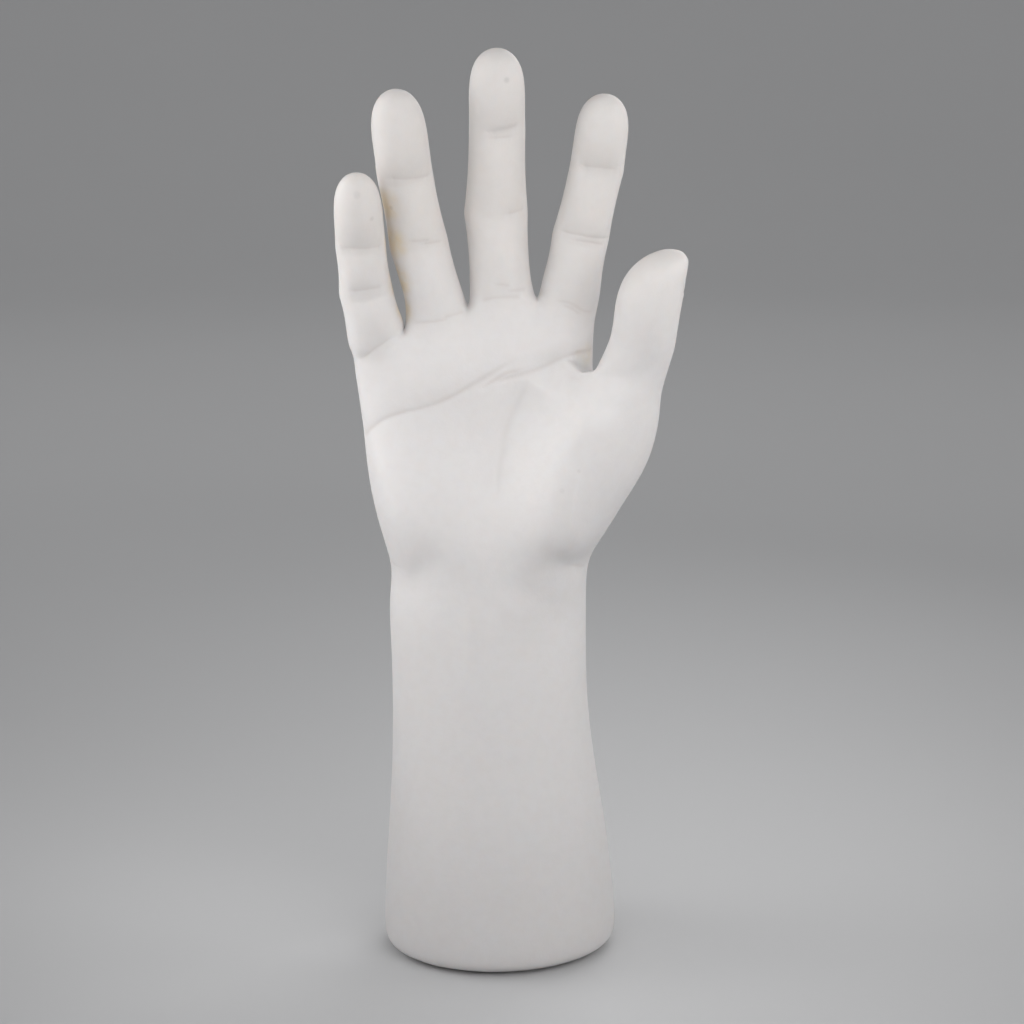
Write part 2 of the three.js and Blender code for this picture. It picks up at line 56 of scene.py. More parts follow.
# The bung is round apart from the slot at its front, so its back and sides give the foot's middle
bung_low, bung_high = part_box("base_bung")
bung_radius = (bung_high.x - bung_low.x) / 2
FOOT = np.array([(bung_low.x + bung_high.x) / 2, bung_high.y - bung_radius, 0.0]) / MM

PALM = np.array([0.0, -1.0, 0.0])

# Bones of the fingers, with heights from the wrist up: from the root over the two joints to the tip.
# The lean is sideways and the curl toward the palm. half is half the width of the last joints.
WRIST = 142.0
FINGERS = {
    "little": dict(
        root=(-43, -2.5, 85.5), lengths=(18.6, 17.9, 28.4),
        lean=(-12, -4.4, -1.7), curl=(15, 20, 22), half=8.6,
    ),
    "ring": dict(
        root=(-21.4, -1, 93.5), lengths=(27, 25.1, 32.8),
        lean=(-14.7, -10, -6.3), curl=(9, 14, 18), half=9.8,
    ),
    "middle": dict(
        root=(0.7, -0.5, 99.5), lengths=(30.7, 29.5, 30),
        lean=(-3.6, 1, -0.2), curl=(5.5, 11, 16), half=9.9,
    ),
    "index": dict(
        root=(24.4, -1, 99.5), lengths=(22.6, 26.3, 27.5),
        lean=(10, 12.2, 6.5), curl=(9, 14, 18), half=9.4,
    ),
}
THUMB_JOINTS = ((39, -17, 60), (48, -24, 86), (51.4, -31.5, 104), (59.7, -36, 120.9))
THUMB_PAD_SIDE = (-0.86, -0.5, 0.0)
THUMB_HALF = 10.6


def unit(v):
    return v / np.linalg.norm(v)


def smoothstep(x, low, high):
    t = np.clip((x - low) / (high - low), 0, 1)
    return t * t * (3 - 2 * t)


def from_wrist(place):
    """A place given with its height above the wrist, in the hand's frame."""
    return np.array(place, float) + (0, 0, WRIST)


class Digit:
    """A finger's or the thumb's bones, and places on its skin by length along them and angle round them."""

    OUTSIDE = 1.25  # how far from the bones a place just outside the skin lies, in half widths

    def __init__(self, joints, half, pad_side=PALM):
        self.joints = joints
        self.half = half
        self.pad_side = pad_side

    @classmethod
    def from_bones(cls, root, lengths, lean, curl, half):
        joints = [from_wrist(root)]
        for length, side, bend in zip(lengths, np.radians(lean), np.radians(curl)):
            upright = math.cos(bend)
            along = np.array([math.sin(side) * upright, -math.sin(bend), math.cos(side) * upright])
            joints.append(joints[-1] + along * length)
        return cls(joints, half)

    def axes(self, at):
        """Point, direction along, direction to the pad side and sideways, at a number of bones along."""
        last = len(self.joints) - 2
        k = min(max(int(math.floor(at)), 0), last)
        start, end = self.joints[k], self.joints[k + 1]
        along = unit(end - start)
        if k > 0 and at - k < 0.5:
            before = unit(start - self.joints[k - 1])
            along = along * (0.5 + at - k) + before * (0.5 - at + k)
        elif k < last and at - k > 0.5:
            after = unit(self.joints[k + 2] - end)
            along = along * (1.5 - at + k) + after * (at - k - 0.5)
        along = unit(along)
        pad = unit(self.pad_side - along * (self.pad_side @ along))
        return start + (end - start) * (at - k), along, pad, np.cross(along, pad)

    def around(self, at, angle, shift=0.0):
        """A place just outside the skin: angle 0 is the middle of the pad side, 90 is to the right."""
        middle, along, pad, across = self.axes(at)
        turn = math.radians(angle)
        outward = pad * math.cos(turn) + across * math.sin(turn)
        return middle + along * shift + outward * self.half * self.OUTSIDE

    def arc(self, at, span, centre=0.0, bow=0.0, shift=0.0, steps=9):
        """Points of a line round the digit. bow moves its middle along the digit, in millimetres."""
        angles = np.linspace(centre - span, centre + span, steps)
        return [
            self.around(at, angle, shift + bow * (1 - ((angle - centre) / span) ** 2))
            for angle in angles
        ]


digits = {name: Digit.from_bones(**size) for name, size in FINGERS.items()}
digits["thumb"] = Digit(
    [from_wrist(joint) for joint in THUMB_JOINTS], THUMB_HALF, pad_side=unit(np.array(THUMB_PAD_SIDE))
)


# The skin's mesh, from the CAD shell

SOCKET_RADIUS = 18.0
SOCKET_STEPS = 192
RIM_TOLERANCE = 0.2
RIM_HEIGHT = 1e-5
RIM_JOIN = 2e-5
SKIN_LEVELS = 2


def from_socket(co):
    return math.hypot(co.x / MM - FOOT[0], co.y / MM - FOOT[1])


def split_shell(node):
    """The shell's outer face, and the rest: socket and hollow. Both are open at the socket's rim."""
    shell = bmesh.new()
    shell.from_mesh(node.data)
    bmesh.ops.remove_doubles(shell, verts=shell.verts, dist=SAME_PLACE)
    shell.faces.index_update()

    def on_rim(edge):
        return all(
            v.co.z < RIM_HEIGHT and abs(from_socket(v.co) - SOCKET_RADIUS) < RIM_TOLERANCE
            for v in edge.verts
        )

    first = max(shell.verts, key=lambda v: v.co.z).link_faces[0]
    outer = {first}
    waiting = [first]
    while waiting:
        for edge in waiting.pop().edges:
            if on_rim(edge):
                continue
            for face in edge.link_faces:
                if face not in outer:
                    outer.add(face)
                    waiting.append(face)
    inner = shell.copy()
    inner.faces.ensure_lookup_table()
    bmesh.ops.delete(inner, geom=[inner.faces[f.index] for f in outer], context="FACES")
    bmesh.ops.delete(shell, geom=[f for f in shell.faces if f not in outer], context="FACES")
    return shell, inner


def round_off_rim(bm):
    """Puts the vertices of the open rim at even steps round the socket."""
    for v in {v for e in bm.edges if e.is_boundary for v in e.verts}:
        angle = math.atan2(v.co.y / MM - FOOT[1], v.co.x / MM - FOOT[0])
        angle = round(angle / math.tau * SOCKET_STEPS) * math.tau / SOCKET_STEPS
        x = FOOT[0] + SOCKET_RADIUS * math.cos(angle)
        y = FOOT[1] + SOCKET_RADIUS * math.sin(angle)
        v.co = Vector((x, y, 0)) * MM


def subdivided(bm, levels):
    """A new bmesh with subdivision levels applied."""
    mesh = bpy.data.meshes.new("work")
    bm.to_mesh(mesh)
    bm.free()
    work = bpy.data.objects.new("work", mesh)
    bpy.context.scene.collection.objects.link(work)
    modifier = work.modifiers.new("subdivision", "SUBSURF")
    modifier.levels = modifier.render_levels = levels
    smooth = work.evaluated_get(bpy.context.evaluated_depsgraph_get())
    fine = bmesh.new()
    fine.from_mesh(smooth.to_mesh())
    smooth.to_mesh_clear()
    bpy.data.objects.remove(work)
    bpy.data.meshes.remove(mesh)
    return fine


class Line:
    """A line drawn on the skin: points near it, in order, joined by a smooth curve and laid on the skin."""

    STEP = 0.35

    def __init__(self, tree, points):
        points = [np.array(p, float) for p in points]
        ends = [2 * points[0] - points[1], *points, 2 * points[-1] - points[-2]]
        samples = []
        for a, b, c, d in zip(ends, ends[1:], ends[2:], ends[3:]):
            count = max(2, int(np.linalg.norm(c - b) / self.STEP))
            for t in np.linspace(0, 1, count, endpoint=False):
                linear = 2 * b + (c - a) * t
                curved = (2 * a - 5 * b + 4 * c - d) * t**2 + (3 * b - a - 3 * c + d) * t**3
                samples.append((linear + curved) / 2)
        samples.append(points[-1])
        self.points = np.array([tree.find_nearest(Vector(s))[0] for s in samples])
        steps = np.linalg.norm(np.diff(self.points, axis=0), axis=1)
        self.along = np.concatenate([[0], np.cumsum(steps)])

    def near(self, places, reach):
        """For the places within reach: indices, distances from the line, positions along it from 0 to 1."""
        lowest, highest = self.points.min(0) - reach, self.points.max(0) + reach
        picked = np.nonzero(np.all((places > lowest) & (places < highest), axis=1))[0]
        if not len(picked):
            return picked, np.zeros(0), np.zeros(0)
        gaps = np.linalg.norm(places[picked, None] - self.points[None], axis=2)
        nearest = gaps.argmin(1)
        gap = gaps[np.arange(len(picked)), nearest]
        close = gap < reach
        return picked[close], gap[close], self.along[nearest[close]] / self.along[-1]


# Lines of the pad side, read off the photograph and laid on the skin

HEART = [
    (-50, -1, 191.5), (-45.5, -7.8, 196.1), (-40.7, -10.6, 199.9), (-34.2, -12.5, 202.6),
    (-25.1, -13.6, 205.1), (-16.8, -13.8, 208.4), (-10, -13.8, 212.5), (-4, -13.7, 215.8),
    (0.7, -13.6, 218.6), (6.1, -13, 221.9), (10, -12.6, 224),
]
HEAD = [
    (32.8, -5, 223.7), (31.2, -9.6, 223.8), (29.2, -11.6, 223.8), (26.8, -12.9, 223.5),
    (23.6, -12.6, 222.7), (19.4, -12, 220.9), (15.6, -11.8, 218.9), (10.2, -12.9, 217),
    (3.4, -13.7, 215.1), (-1.9, -13.8, 213.2), (-7.5, -13.8, 209.8),
]
HEAD_STRAND = [
    (13, -12.3, 219.8), (7.2, -13.3, 218), (2, -13.7, 216.6), (-4, -13.8, 213), (-9, -13.8, 209.6),
]
LIFE = [
    (12.5, -12.6, 217.5), (8.8, -12.9, 210.9), (5.5, -12.5, 204), (2.6, -13.1, 197.2),
    (1.4, -14.8, 190.7), (0, -16.4, 184.1), (-0.3, -19.3, 175), (-0.8, -20.5, 168),
]
WEB_FOLD = [
    (21.5, -17.5, 215.5), (23.9, -18.3, 215.8), (27.4, -20.1, 216.4), (28.8, -20.8, 217.1),
    (30.5, -21.9, 218.8),
]


def crease(points, groove, sunk, above=2.5, below=6.0, width=0.5, ends=(0.2, 0.2), painted_shade=1.0):
    """A line in the skin, sizes in millimetres: the depth of its groove, how deep the skin sinks toward
    it and over what reach above and below it, the groove's half width, and the share of each end over
    which it fades. The last argument is how much painted shade darkens the vinyl's colour in it."""
    return dict(
        points=points, groove=groove, sunk=sunk, above=above, below=below, width=width, ends=ends, painted_shade=painted_shade
    )


PALM_CREASES = [
    crease(HEART, 0.22, 0.34, 2.6, 3.2, width=0.75, ends=(0.05, 0.25)),
    crease(HEAD, 0.22, 0.42, 2.6, 5, width=0.8, ends=(0.08, 0.3)),
    crease(HEAD_STRAND, 0.16, 0.15, 2, 2, width=0.6, ends=(0.35, 0.3)),
    crease(LIFE, 0.1, 0.5, 4, 4, width=1.3, ends=(0.22, 0.25), painted_shade=0.5),
    crease(WEB_FOLD, 0.06, 0.35, 2.6, 2.6, width=0.8, ends=(0.35, 0.35), painted_shade=0.5),
    crease(
        [(22.5, -12.7, 221.8), (24.7, -13.2, 221.2), (27.5, -12.8, 220.1)],
        0.3, 0.3, 1.5, 1.5, ends=(0.4, 0.1),
    ),
    crease([(25, -12.9, 223.2), (29.2, -11.6, 223.8), (33.2, -4.5, 223.7)], 0.25, 0.4, 1.8, 2.4, width=0.7),
    crease([(-41, -1, 147), (-38.5, -8, 146.6), (-32, -15.5, 146)], 0.08, 0.2, 2.5, 2.5, ends=(0.2, 0.6)),
    crease([(31.5, -8, 146.5), (27.5, -20.5, 147.5), (19, -25, 149)], 0.08, 0.2, 2.5, 2.5, ends=(0.2, 0.6)),
]

# At the roots of the little, the ring, the middle and the index finger
BASE_CREASES = [
    crease(
        [
            (-50, -6, 220), (-46.1, -10.5, 222.9), (-43.5, -11.6, 225.1), (-41, -11.6, 226.8),
            (-37.9, -10.7, 228.8), (-36, -9.2, 229.4),
        ],
        0.1, 0.6, 3, 4, ends=(0.25, 0.3),
    ),
    crease(
        [
            (-31, -7, 233.4), (-28.8, -9.4, 234.2), (-24.2, -10.8, 234.6), (-20, -10.9, 235.2),
            (-16.2, -9.9, 236.1),
        ],
        0.1, 0.35,
    ),
    crease([(-20.5, -10.9, 235.9), (-15.2, -9.4, 237.1), (-11.9, -5.9, 238.1)], 0.08, 0.22),
    crease(
        [(-8, -8, 241.4), (-5.4, -9.6, 242.2), (-0.8, -10.8, 243.1), (4.4, -10.3, 243.2), (9.3, -8, 242.7)],
        0.08, 0.3,
    ),
    crease(
        [(-3.3, -11, 248.2), (1.6, -11.3, 247.7), (5.4, -10.2, 246.5)],
        0.08, 0.12, 1.8, 3, ends=(0.35, 0.35),
    ),
    crease([(1, -11, 245.6), (5.8, -10, 245.6), (10, -6.7, 245.6)], 0.08, 0.12, 1.8, 3, ends=(0.35, 0.2)),
    crease(
        [
            (18, -9.5, 242.6), (20.8, -10.5, 242), (24.3, -11.4, 241.4), (27.5, -10.7, 239.5),
            (29.7, -9.4, 238.2), (34, -5, 237.6),
        ],
        0.07, 0.26,
    ),
    crease(
        [(20, -10.5, 240.9), (24.3, -11.2, 239.8), (26.8, -10.8, 238.3), (30.5, -9, 235.8)],
        0.07, 0.14, 1.8, 3, ends=(0.3, 0.35),
    ),
]

# At the joints of the little, the ring, the middle and the index finger
JOINT_CREASES = [
    crease(
        [
            (-54, -17, 261.6), (-52.6, -20.2, 261.6), (-49.1, -21.2, 261.4), (-45.4, -20.8, 261.4),
            (-42.4, -19.4, 261.7), (-39.6, -16, 262.3),
        ],
        0.05, 0.8, 3.5, 6, ends=(0.15, 0.15),
    ),
    crease(
        [(-52.5, -14.5, 246.4), (-48.2, -16.6, 246.4), (-44.4, -16.4, 246.9), (-40, -13.5, 247.8)],
        0.08, 0.5, 2.5, 5,
    ),
    crease(
        [
            (-39, -16.5, 285.8), (-36, -19, 285.3), (-32.2, -19.8, 285), (-28.8, -19.1, 285.3),
            (-22, -13, 286.5),
        ],
        0.05, 0.8, 3.8, 9,
    ),
    crease([(-32.8, -14.5, 263.6), (-27.7, -15.2, 263.4), (-22.4, -13.2, 263.8)], 0.1, 0.22, ends=(0.3, 0.3)),
    crease([(-28.9, -14.9, 262), (-23.6, -13.6, 262.5), (-18.5, -9.4, 263.2)], 0.1, 0.22, ends=(0.3, 0.3)),
    crease(
        [(-6, -16.5, 300.8), (-3.8, -17.3, 301), (0.6, -17.8, 301.5), (5.4, -16.4, 302.6), (7.5, -14.5, 303)],
        0.1, 0.5, 2, 2.5, width=1.2, ends=(0.3, 0.2),
    ),
    crease([(-5.5, -16, 299), (0.6, -17, 299.2), (7, -14.5, 299.8)], 0.06, 0.12, 1.8, 3, ends=(0.35, 0.35)),
    crease([(0.8, -12.9, 272.2), (4.7, -11.7, 272.8), (9, -8, 274)], 0.07, 0.5, 2.6, 6, ends=(0.35, 0.1)),
    crease(
        [
            (27, -16, 289.8), (29, -18.2, 289.5), (32.7, -19.5, 289.1), (36.5, -19.2, 288.7),
            (42, -15.5, 288.6),
        ],
        0.05, 0.75, 3.4, 9,
    ),
    crease(
        [(19.5, -9.5, 267), (24.8, -13.6, 265.8), (28.9, -14.5, 265), (37, -9.7, 263.7), (39, -6, 263.4)],
        0.14, 0.5, 2.8, 2.5, ends=(0.2, 0.1),
    ),
    crease(
        [(23, -12.5, 263.9), (30.3, -13.5, 262.8), (37.5, -8.8, 261.2)],
        0.1, 0.28, 1.6, 5, ends=(0.3, 0.15),
    ),
]

# Wrinkles over the backs of the joints: how many bones along the digit, how many wrinkles, half their angle
FINGER_WRINKLES = [(1, 5, 46), (2, 3, 36)]
THUMB_WRINKLES = [(1, 4, 46)]
WRINKLE_STEP = 1.6
WRINKLE_BOW = 0.9
WRINKLE_DEPTH = 0.26
WRINKLE_SHALLOWER = 0.04  # with each wrinkle from the middle one, and how many degrees narrower
WRINKLE_NARROWER = 7


def knuckle_wrinkles():
    """Bowed wrinkles over the backs of the joints, deepest over the middle of each joint."""
    wrinkles = []
    for name, digit in digits.items():
        for at, count, widest in THUMB_WRINKLES if name == "thumb" else FINGER_WRINKLES:
            for k in range(count):
                offset = k - (count - 1) / 2
                span = widest - WRINKLE_NARROWER * abs(offset)
                depth = WRINKLE_DEPTH - WRINKLE_SHALLOWER * abs(offset)
                arc = digit.arc(at, span, 180, bow=WRINKLE_BOW * offset, shift=WRINKLE_STEP * offset)
                # Each wrinkle also gets painted shade in the vinyl's colour
                wrinkles.append(crease(arc, depth, 0.12, 1.6, 1.6, width=0.45, ends=(0.3, 0.3), painted_shade=0.6))
    return wrinkles


# Broad forms: points along the form, height, half width. A hollow has a negative height.
WRIST_FORMS = [
    ([(-33, -15.5, 149), (-27, -18.5, 148), (-18, -21, 155)], -0.8, 6.5),
    ([(21.5, -25.5, 149.5), (28.5, -19, 147.5)], -1.4, 6.2),
    ([(9, -21.5, 134), (14, -20, 135.5), (19, -17.8, 137)], 1, 7.5),
]
WEB_FORMS = [
    ([(24.5, -14, 220.6), (27, -16.5, 219.4)], 0.9, 1.8),
    ([(29, -12, 220.4), (31.5, -9.5, 219.5)], -1, 2.4),
    ([(30.5, -17, 219.5), (32, -21.5, 219.4)], -1, 2.2),
    ([(9.8, -8, 242.2), (11.9, -6.2, 241.2), (14, -5, 241.6)], 0.7, 1.6),
]
FOREARM_CORDS = [
    ([(-10.2, -22.3, 140), (-11.2, -23, 122), (-12.2, -25, 96)], 0.4, 2.6),
    ([(-3.2, -22.6, 140), (-3.8, -23.3, 122), (-4.6, -26, 92)], 0.4, 2.6),
]
FINGER_CUSHIONS = [
    ([(-20, -14, 225), (-19, -14, 231)], 0.5, 6),
    ([(1, -14, 228), (1, -14, 235)], 0.5, 6),
    ([(23, -14, 229), (22, -14, 236)], 0.5, 6),
]
KNUCKLES = [(-42.5, 12, 221), (-21.5, 15, 229), (0.8, 16, 233), (24, 15.5, 231)]


def back_forms():
    """The knuckles, and the tendons that run from them toward the middle of the wrist."""
    forms = []
    for x, y, z in KNUCKLES:
        wrist_x = -6 + 0.35 * x
        forms.append(([(x, y, z - 2), (x, y, z + 2)], 1.0, 6.5))
        forms.append(([(x, y, z - 8), ((x + wrist_x) / 2, 17, 195), (wrist_x, 20, 158)], 0.55, 2.4))
    return forms


class Nail:
    """A nail on the back of a digit's last bone, from its base to its free edge."""

    BESIDE = 3  # how far beyond its sides a nail still shapes the skin
    BEYOND = 5  # and beyond its ends
    BASE_LENGTH = 0.75  # how long the rounded part at the base is, in half widths
    BASE_SCALE = 0.85  # turns a distance from that part, in half widths of it, into about millimetres
    EDGE_CURVE = 0.18  # how far the free edge falls back at the sides, in half widths
    FACING = 0.05  # how far the skin has to face the nail's side

    def __init__(self, digit, base, tip, half_width, relief=1.0):
        last = len(digit.joints) - 2
        start, along, pad, across = digit.axes(last + (base + tip) / 2)
        self.middle = start - pad * digit.half
        self.along, self.outward, self.across = along, -pad, across
        self.half_length = np.linalg.norm(digit.joints[-1] - digit.joints[-2]) * (tip - base) / 2
        self.half_width = half_width
        self.relief = relief

    def place(self, places, normals):
        """Indices of the places on the nail's side of the digit, how far each lies outside the nail's sides
        and base, and how far beyond its free edge."""
        offset = places - self.middle
        u = offset @ self.across
        v = offset @ self.along
        picked = np.nonzero(
            (np.abs(u) < self.half_width + self.BESIDE) & (np.abs(v) < self.half_length + self.BEYOND)
            & (np.abs(offset @ self.outward) < self.half_width) & (normals @ self.outward > self.FACING)
        )[0]
        u, v = np.abs(u[picked]), v[picked]
        base_length = self.half_width * self.BASE_LENGTH
        base_middle = -self.half_length + base_length
        side = u - self.half_width
        corner = np.hypot(u / self.half_width, (base_middle - v) / base_length) - 1
        corner *= self.half_width * self.BASE_SCALE
        beyond = v - (self.half_length - self.EDGE_CURVE * u**2 / self.half_width)
        return picked, np.where(v < base_middle, corner, side), beyond


nails = [
    Nail(digits["little"], 0.5, 0.93, 4.9),
    Nail(digits["ring"], 0.52, 0.93, 5.9),
    Nail(digits["middle"], 0.5, 0.93, 6.1),
    Nail(digits["index"], 0.5, 0.93, 5.8),
    Nail(digits["thumb"], 0.3, 0.95, 6.8, relief=0.4),
]


# Sculpting. Heights, depths and distances are in millimetres.

FORM_REACH = 2.4  # how far a broad form reaches, in half widths
FORM_FADES = 12  # a broad form longer than this fades toward its ends
CREASE_REACH = 3  # how far the sunk skin reaches, in reaches of the crease
CREASE_FLOOR = 0.6  # how round the bottom of a crease's valley is
CREASE_TURN = 0.6  # half the height over which the reach above becomes the reach below
SUNK_PAINTED_SHADE = 0.3  # painted shade on the sunk skin next to the groove
PLATE_RISE = 0.22  # a nail's plate over the skin
NAIL_GROOVE = 0.42  # depth and half width of the groove round the plate
FOLD_HEIGHT = 0.3  # the fold of skin outside the groove
FOLD_PLACE = 1.2
FOLD_WIDTH = 0.9
UNDER_DEPTH = 0.5  # the step down beyond the free edge, and how far it reaches
UNDER_REACH = 1.8
# Painted shade in the groove round a nail's plate
NAIL_PAINTED_SHADE = 0.55


def waver(t, seed):
    """A slow change along a line, round 1."""
    return 1 + 0.16 * np.sin(9.4 * t + seed) + 0.1 * np.sin(23.7 * t + 2.1 * seed)


def raise_form(rise, places, line, height, width):
    picked, gap, t = line.near(places, FORM_REACH * width)
    fade = 1
    if line.along[-1] > FORM_FADES:
        fade = smoothstep(t, -0.01, 0.3) * smoothstep(-t, -1.01, -0.7)
    rise[picked] += height * np.exp(-((gap / width) ** 2)) * fade


def cut_crease(rise, painted_shade, places, line, size, seed):
    """Cuts the groove of a crease, sinks the skin beside it and paints shade into both. The seed gives each
    crease its own waver.
    """
    picked, gap, t = line.near(places, CREASE_REACH * max(size["above"], size["below"]))
    start, end = size["ends"]
    fade = smoothstep(t, 0, start) * smoothstep(1 - t, 0, end)
    sharp = np.exp(-((gap / (size["width"] * waver(t, seed + 1))) ** 2)) * fade
    nearest = line.points[np.round(t * (len(line.points) - 1)).astype(int)]
    is_below = smoothstep(nearest[:, 2] - places[picked][:, 2], -CREASE_TURN, CREASE_TURN)
    reach = size["above"] + (size["below"] - size["above"]) * is_below
    soft = np.exp((CREASE_FLOOR - np.hypot(gap, CREASE_FLOOR)) / reach) * fade
    soft *= smoothstep(-gap / reach, -CREASE_REACH, -CREASE_REACH / 2)
    rise[picked] -= size["groove"] * waver(t, seed) * sharp + size["sunk"] * soft
    painted_shade[picked] = np.maximum(painted_shade[picked], size["painted_shade"] * (sharp + SUNK_PAINTED_SHADE * soft) * fade)


def shape_nail(rise, painted_shade, places, normals, nail):
    """Raises a nail's plate and the fold round it, and cuts the groove between them and the step under
    its free edge. Shade is painted into the groove."""
    picked, outside, beyond = nail.place(places, normals)
    on_plate = smoothstep(-outside, 0, 0.5) * smoothstep(-beyond, -0.1, 0.35)
    alongside = smoothstep(-beyond, -1.2, 0.8)
    groove = NAIL_GROOVE * np.exp(-((outside / NAIL_GROOVE) ** 2)) * alongside
    fold = FOLD_HEIGHT * np.exp(-(((outside - FOLD_PLACE) / FOLD_WIDTH) ** 2)) * alongside
    under = smoothstep(beyond, 0, 0.4) * np.exp(-np.maximum(beyond, 0) / UNDER_REACH)
    under *= smoothstep(-outside, -1.5, 0.5)
    rise[picked] += nail.relief * (PLATE_RISE * on_plate - groove + fold - UNDER_DEPTH * under)
    painted_shade[picked] = np.maximum(painted_shade[picked], NAIL_PAINTED_SHADE * np.exp(-((outside / 0.5) ** 2)) * alongside)


def sculpt(places, normals, lines, forms):
    """How far each place moves along its normal, and how much painted shade it gets in creases and nail
    grooves.
    """
    rise = np.zeros(len(places))
    painted_shade = np.zeros(len(places))
    for line, height, width in forms:
        raise_form(rise, places, line, height, width)
    for seed, (line, size) in enumerate(lines):
        cut_crease(rise, painted_shade, places, line, size, seed)
    for nail in nails:
        shape_nail(rise, painted_shade, places, normals, nail)
    return rise, painted_shade


def places_of(bm):
    """Vertex places in millimetres of the hand's frame, and normals."""
    bm.normal_update()
    places = np.array([v.co for v in bm.verts]) / MM - FOOT
    return places, np.array([v.normal for v in bm.verts])


def refine(bm, wanted):
    """Cuts the faces of which all corners are wanted into smaller ones."""
    bm.verts.index_update()
    faces = [f for f in bm.faces if all(wanted[v.index] for v in f.verts)]
    edges = list({e for f in faces for e in f.edges})
    bmesh.ops.subdivide_edges(bm, edges=edges, cuts=1, use_grid_fill=True)


FINE_BY_CREASE = 2.2  # how far round creases and nails the mesh is refined
FINE_BY_NAIL = 2
SHARP_SKIN = math.radians(50)


def build_skin():
    """The CAD shell's skin, refined and sculpted, in one closed mesh with its socket and hollow."""
    outer, inner = split_shell(nodes["hand_shell"])
    bmesh.ops.join_triangles(outer, faces=outer.faces[:], angle_face_threshold=0.9, angle_shape_threshold=1.2)
    rim = [e for e in inner.edges if e.is_boundary]
    bmesh.ops.subdivide_edges(inner, edges=rim, cuts=2**SKIN_LEVELS - 1)
    round_off_rim(inner)
    outer = subdivided(outer, SKIN_LEVELS)
    round_off_rim(outer)

    places, normals = places_of(outer)
    corners = [[v.index for v in f.verts] for f in outer.faces]
    tree = BVHTree.FromPolygons([Vector(p) for p in places], corners, epsilon=0)
    creases = PALM_CREASES + BASE_CREASES + JOINT_CREASES + knuckle_wrinkles()
    lines = [(Line(tree, size["points"]), size) for size in creases]
    broad = WRIST_FORMS + WEB_FORMS + FOREARM_CORDS + FINGER_CUSHIONS + back_forms()
    forms = [(Line(tree, points), height, width) for points, height, width in broad]

    fine = np.zeros(len(places), bool)
    for line, _ in lines:
        fine[line.near(places, FINE_BY_CREASE)[0]] = True
    for nail in nails:
        picked, outside, beyond = nail.place(places, normals)
        fine[picked[(np.abs(outside) < FINE_BY_NAIL) | (np.abs(beyond) < FINE_BY_NAIL)]] = True
    refine(outer, fine)

    places, normals = places_of(outer)
    rise, painted_shade = sculpt(places, normals, lines, forms)
    # Painted shade: how much the creases and nail grooves darken the vinyl's colour
    hollow = outer.verts.layers.float.new("hollow")
    for v, place, normal, up, shade in zip(outer.verts, places, normals, rise, painted_shade):
        v.co = Vector((place + normal * up + FOOT) * MM)
        v[hollow] = shade

    # Skin and inside, joined at the socket's rim
    mesh = bpy.data.meshes.new("sculpted_hand")
    inner.to_mesh(mesh)
    outer.from_mesh(mesh)
    rim = [v for v in outer.verts if v.is_boundary]
    bmesh.ops.remove_doubles(outer, verts=rim, dist=RIM_JOIN)
    for face in outer.faces:
        face.smooth = True
        face.material_index = 0
    for edge in outer.edges:
        edge.smooth = not (len(edge.link_faces) == 2 and edge.calc_face_angle() > SHARP_SKIN)
    outer.to_mesh(mesh)
    outer.free()
    inner.free()
    skin = bpy.data.objects.new("sculpted_hand", mesh)
    bpy.context.scene.collection.objects.link(skin)
    return skin


BUNG_EDGE = 0.3  # how far the bung's edges are rounded off
BUNG_CORNER = math.radians(40)
SHARP_BUNG = math.radians(35)


def build_bung():
    """The bung with its edges rounded off."""
    bung = bmesh.new()
    bung.from_mesh(nodes["base_bung"].data)
    bmesh.ops.remove_doubles(bung, verts=bung.verts, dist=SAME_PLACE)
    bmesh.ops.dissolve_limit(bung, angle_limit=0.01, verts=bung.verts, edges=bung.edges)
    sharp = [e for e in bung.edges if e.calc_face_angle(0) > BUNG_CORNER]
    bmesh.ops.bevel(bung, geom=sharp, offset=BUNG_EDGE * MM, segments=2, affect="EDGES", profile=0.6)
    for face in bung.faces:
        face.smooth = True
    for edge in bung.edges:
        edge.smooth = edge.calc_face_angle(0) < SHARP_BUNG
    mesh = bpy.data.meshes.new("bung_plug")
    bung.to_mesh(mesh)
    bung.free()
    plug = bpy.data.objects.new("bung_plug", mesh)
    bpy.context.scene.collection.objects.link(plug)
    return plug


# Materials

VINYL = (0.748, 0.727, 0.723)
VINYL_TIPS = (0.71, 0.665, 0.625)
VINYL_SHADE = (0.60, 0.555, 0.53)
STAIN = (0.74, 0.61, 0.40)
SPECK = (0.33, 0.31, 0.30)
BUNG = (0.66, 0.65, 0.635)
BUNG_SHADE = (0.58, 0.56, 0.53)
SAND_BROWN = (0.46, 0.37, 0.25)
SAND_PALE = (0.74, 0.66, 0.52)
SAND_DARK = (0.2, 0.17, 0.14)
FLOOR_PALE = (0.57, 0.57, 0.575)
FLOOR_SHADE = (0.55, 0.55, 0.555)

# Heights in metres between which the vinyl turns warmer and a little darker
TIPS_FROM = 0.215
TIPS_TO = 0.275

# Place in the hand's frame and radius, in millimetres, and strength
STAINS = [
    ((-38.5, -13, 276), 8, 0.6), ((-36.5, -11, 263), 8, 0.7), ((-34.5, -7, 249), 8, 0.7),
    ((-33, -4, 238), 7, 0.5), ((31, -9.5, 222.5), 6, 0.35),
]
SPECKS = [
    ((2.7, -22, 319), 1.5, 0.24), ((-48.2, -27.5, 280.8), 1.9, 0.14), ((-43.3, -24.4, 272.3), 1.2, 0.18),
    ((-37.4, -15.8, 275), 1.2, 0.25), ((27.5, -32.9, 186.2), 1, 0.12), ((21.7, -31.9, 178.9), 1.4, 0.1),
]


